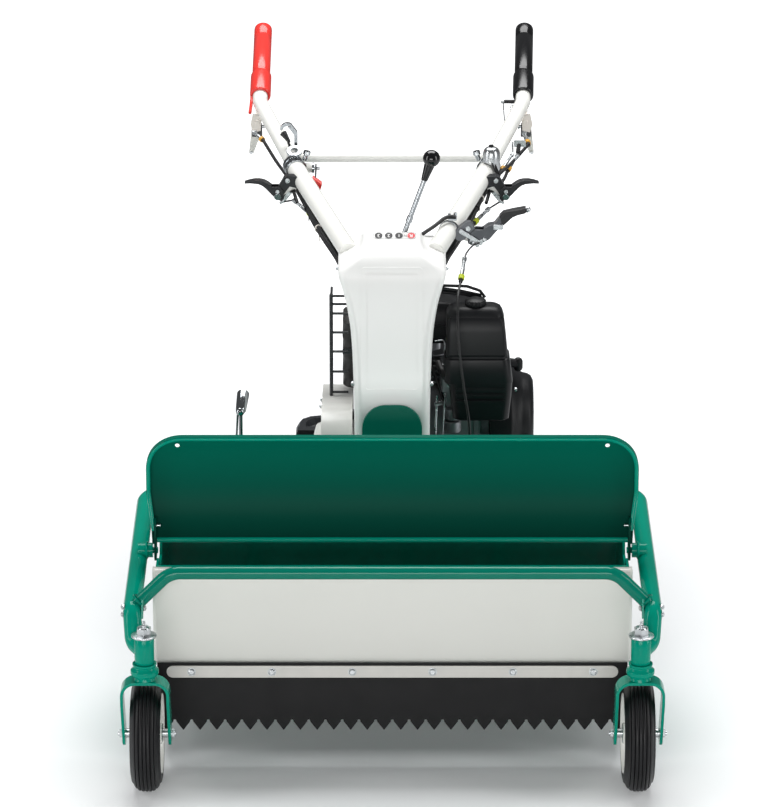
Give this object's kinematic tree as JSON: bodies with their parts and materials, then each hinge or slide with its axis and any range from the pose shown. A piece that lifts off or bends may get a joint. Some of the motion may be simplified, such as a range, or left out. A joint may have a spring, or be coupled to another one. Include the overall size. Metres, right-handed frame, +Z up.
{
  "type": "tracked hammer knife mower",
  "caption": "Walk-behind crawler mower: knife rotor under a wide front deck with a folding hood, swivelling casters, petrol engine with belt drive, and two long handles.",
  "frame": {"origin": "on the ground, under the middle of the whole machine", "axes": "+X to the machine's left side, -Y the way it mows, +Z up"},
  "size_m": [1.0282, 1.8901, 1.0429],
  "materials": {
    "green_enamel": "gloss enamel",
    "white_enamel": "gloss enamel",
    "black_rubber": "matte moulded rubber",
    "tyre_rubber": "ribbed solid tyre",
    "black_plastic": "fine grained moulding",
    "black_frame_paint": "semi-gloss paint",
    "cast_alloy": "as cast",
    "zinc_plated_steel": "bright zinc plating",
    "chromed_steel": "polished plating",
    "red_rubber": "satin moulded rubber",
    "knife_steel": "forged and worn"
  },
  "bodies": {
    "chassis": {"deck_shell": "green_enamel", "guard_bar": "green_enamel", "side_frame": "green_enamel", "column_cover": "green_enamel", "front_panel": "white_enamel", "belt_cover": "white_enamel", "dash_cover": "white_enamel", "handle_right": "white_enamel", "handle_left": "white_enamel", "cross_tube": "white_enamel", "rubber_flap": "black_rubber", "rubber_track_right": "black_rubber", "rubber_track_left": "black_rubber", "drive_belt": "black_rubber", "cable_bundle_right": "black_rubber", "cable_bundle_left": "black_rubber", "knife_clutch_cable": "black_rubber", "flap_strip": "zinc_plated_steel", "switch_box": "zinc_plated_steel", "main_frame": "black_frame_paint", "muffler": "black_frame_paint", "muffler_guard": "black_frame_paint", "steering_column": "black_frame_paint", "transmission_case": "cast_alloy", "engine_block": "cast_alloy", "recoil_housing": "black_plastic", "air_cleaner_case": "black_plastic", "fuel_tank": "black_plastic", "grip_left": "black_plastic", "grip_right": "red_rubber"},
    "hood": {"hood": "green_enamel"},
    "caster_fork_right": {"caster_fork_right": "green_enamel"},
    "caster_wheel_right": {"caster_tyre_right": "tyre_rubber", "caster_rim_right": "white_enamel"},
    "sprocket_right": {"drive_sprocket_right": "cast_alloy"},
    "idler_right": {"idler_wheel_right": "black_frame_paint"},
    "roller_front_right": {"track_roller_front_right": "black_frame_paint"},
    "roller_rear_right": {"track_roller_rear_right": "black_frame_paint"},
    "caster_fork_left": {"caster_fork_left": "green_enamel"},
    "caster_wheel_left": {"caster_tyre_left": "tyre_rubber", "caster_rim_left": "white_enamel"},
    "sprocket_left": {"drive_sprocket_left": "cast_alloy"},
    "idler_left": {"idler_wheel_left": "black_frame_paint"},
    "roller_front_left": {"track_roller_front_left": "black_frame_paint"},
    "roller_rear_left": {"track_roller_rear_left": "black_frame_paint"},
    "rotor": {"flail_rotor": "knife_steel"},
    "gearbox_pulley": {"gearbox_pulley": "cast_alloy"},
    "engine_pulley": {"engine_pulley": "cast_alloy"},
    "shift_lever": {"shift_lever": "chromed_steel"},
    "steering_lever_right": {"steering_lever_right": "black_plastic"},
    "grip_lever_right": {"grip_lever_right": "zinc_plated_steel"},
    "steering_lever_left": {"steering_lever_left": "black_plastic"},
    "grip_lever_left": {"grip_lever_left": "zinc_plated_steel"},
    "knife_clutch_lever": {"knife_clutch_lever": "zinc_plated_steel"},
    "height_lever": {"height_lever": "chromed_steel"},
    "throttle_lever": {"throttle_lever": "red_rubber"},
    "recoil_handle": {"recoil_handle": "black_plastic"},
    "air_cleaner_knob": {"air_cleaner_knob": "black_plastic"},
    "fuel_cap": {"fuel_cap": "black_plastic"},
    "stop_button": {"stop_button": "black_plastic"}
  },
  "joints": [
    {"name": "hood_hinge", "type": "hinge", "parent": "chassis", "child": "hood", "pos_m": [0, -0.601, 0.385], "axis": [1, 0, 0], "range_deg": [0, 75]},
    {"name": "caster_swivel_right", "type": "hinge", "parent": "chassis", "child": "caster_fork_right", "pos_m": [-0.4585, -0.876, 0.2356], "axis": [0, 0, 1], "continuous": true},
    {"name": "caster_spin_right", "type": "hinge", "parent": "caster_fork_right", "child": "caster_wheel_right", "pos_m": [-0.4585, -0.836, 0.109], "axis": [1, 0, 0], "continuous": true},
    {"name": "sprocket_spin_right", "type": "hinge", "parent": "chassis", "child": "sprocket_right", "pos_m": [-0.205, -0.17, 0.17], "axis": [1, 0, 0], "continuous": true},
    {"name": "idler_spin_right", "type": "hinge", "parent": "chassis", "child": "idler_right", "pos_m": [-0.205, 0.33, 0.103], "axis": [1, 0, 0], "continuous": true},
    {"name": "roller_front_spin_right", "type": "hinge", "parent": "chassis", "child": "roller_front_right", "pos_m": [-0.205, -0.03, 0.068], "axis": [1, 0, 0], "continuous": true},
    {"name": "roller_rear_spin_right", "type": "hinge", "parent": "chassis", "child": "roller_rear_right", "pos_m": [-0.205, 0.15, 0.068], "axis": [1, 0, 0], "continuous": true},
    {"name": "caster_swivel_left", "type": "hinge", "parent": "chassis", "child": "caster_fork_left", "pos_m": [0.4585, -0.876, 0.2356], "axis": [0, 0, 1], "continuous": true},
    {"name": "caster_spin_left", "type": "hinge", "parent": "caster_fork_left", "child": "caster_wheel_left", "pos_m": [0.4585, -0.836, 0.109], "axis": [1, 0, 0], "continuous": true},
    {"name": "sprocket_spin_left", "type": "hinge", "parent": "chassis", "child": "sprocket_left", "pos_m": [0.205, -0.17, 0.17], "axis": [1, 0, 0], "continuous": true},
    {"name": "idler_spin_left", "type": "hinge", "parent": "chassis", "child": "idler_left", "pos_m": [0.205, 0.33, 0.103], "axis": [1, 0, 0], "continuous": true},
    {"name": "roller_front_spin_left", "type": "hinge", "parent": "chassis", "child": "roller_front_left", "pos_m": [0.205, -0.03, 0.068], "axis": [1, 0, 0], "continuous": true},
    {"name": "roller_rear_spin_left", "type": "hinge", "parent": "chassis", "child": "roller_rear_left", "pos_m": [0.205, 0.15, 0.068], "axis": [1, 0, 0], "continuous": true},
    {"name": "rotor_spin", "type": "hinge", "parent": "chassis", "child": "rotor", "pos_m": [0, -0.53, 0.175], "axis": [1, 0, 0], "continuous": true},
    {"name": "gearbox_pulley_spin", "type": "hinge", "parent": "chassis", "child": "gearbox_pulley", "pos_m": [-0.11, -0.128, 0.412], "axis": [1, 0, 0], "continuous": true},
    {"name": "engine_pulley_spin", "type": "hinge", "parent": "chassis", "child": "engine_pulley", "pos_m": [-0.11, 0.1, 0.415], "axis": [1, 0, 0], "continuous": true},
    {"name": "gear_shift", "type": "hinge", "parent": "chassis", "child": "shift_lever", "pos_m": [0, -0.045, 0.7], "axis": [0, 1, 0], "range_deg": [-22, 5]},
    {"name": "steering_squeeze_right", "type": "hinge", "parent": "chassis", "child": "steering_lever_right", "pos_m": [-0.23588, 0.3, 0.82591], "axis": [0, 1, 0], "range_deg": [0, 25], "stiffness_Nm_per_rad": 0.3, "springref_deg": -5.73},
    {"name": "grip_squeeze_right", "type": "hinge", "parent": "chassis", "child": "grip_lever_right", "pos_m": [-0.286, 0.655, 0.876], "axis": [1, 0, 0], "range_deg": [0, 38], "stiffness_Nm_per_rad": 0.5, "springref_deg": -11.46},
    {"name": "steering_squeeze_left", "type": "hinge", "parent": "chassis", "child": "steering_lever_left", "pos_m": [0.23588, 0.3, 0.82591], "axis": [0, -1, 0], "range_deg": [0, 25], "stiffness_Nm_per_rad": 0.3, "springref_deg": -5.73},
    {"name": "grip_squeeze_left", "type": "hinge", "parent": "chassis", "child": "grip_lever_left", "pos_m": [0.286, 0.655, 0.876], "axis": [1, 0, 0], "range_deg": [0, 38], "stiffness_Nm_per_rad": 0.5, "springref_deg": -11.46},
    {"name": "knife_clutch", "type": "hinge", "parent": "chassis", "child": "knife_clutch_lever", "pos_m": [0.16332, 0.03, 0.81387], "axis": [0, -1, 0], "range_deg": [0, 35]},
    {"name": "cutting_height", "type": "hinge", "parent": "chassis", "child": "height_lever", "pos_m": [-0.298, -0.262, 0.421], "axis": [1, 0, 0], "range_deg": [-20, 30]},
    {"name": "throttle", "type": "hinge", "parent": "chassis", "child": "throttle_lever", "pos_m": [-0.1578, 0.37, 0.86422], "axis": [1, 0, 0], "range_deg": [-40, 15]},
    {"name": "recoil_pull", "type": "slide", "parent": "chassis", "child": "recoil_handle", "axis": [0, 0.5, 0.866], "range_m": [0, 0.45], "stiffness_N_per_m": 15, "springref_m": -0.1},
    {"name": "air_cleaner_knob_turn", "type": "hinge", "parent": "chassis", "child": "air_cleaner_knob", "pos_m": [0.166, -0.096, 0.7143], "axis": [0, 0, 1], "range_deg": [0, 1080]},
    {"name": "fuel_cap_turn", "type": "hinge", "parent": "chassis", "child": "fuel_cap", "pos_m": [0.06, 0.105, 0.7036], "axis": [0, 0, 1], "range_deg": [0, 90]},
    {"name": "stop_button_press", "type": "slide", "parent": "chassis", "child": "stop_button", "axis": [0, 0, -1], "range_m": [0, 0.004], "stiffness_N_per_m": 100, "springref_m": -0.002}
  ],
  "couplings": [
    {"joint": "idler_spin_right", "follows": "sprocket_spin_right", "ratio": 1.0667},
    {"joint": "roller_front_spin_right", "follows": "sprocket_spin_right", "ratio": 2},
    {"joint": "roller_rear_spin_right", "follows": "sprocket_spin_right", "ratio": 2},
    {"joint": "idler_spin_left", "follows": "sprocket_spin_left", "ratio": 1.0667},
    {"joint": "roller_front_spin_left", "follows": "sprocket_spin_left", "ratio": 2},
    {"joint": "roller_rear_spin_left", "follows": "sprocket_spin_left", "ratio": 2},
    {"joint": "engine_pulley_spin", "follows": "gearbox_pulley_spin", "ratio": 2.0667}
  ]
}
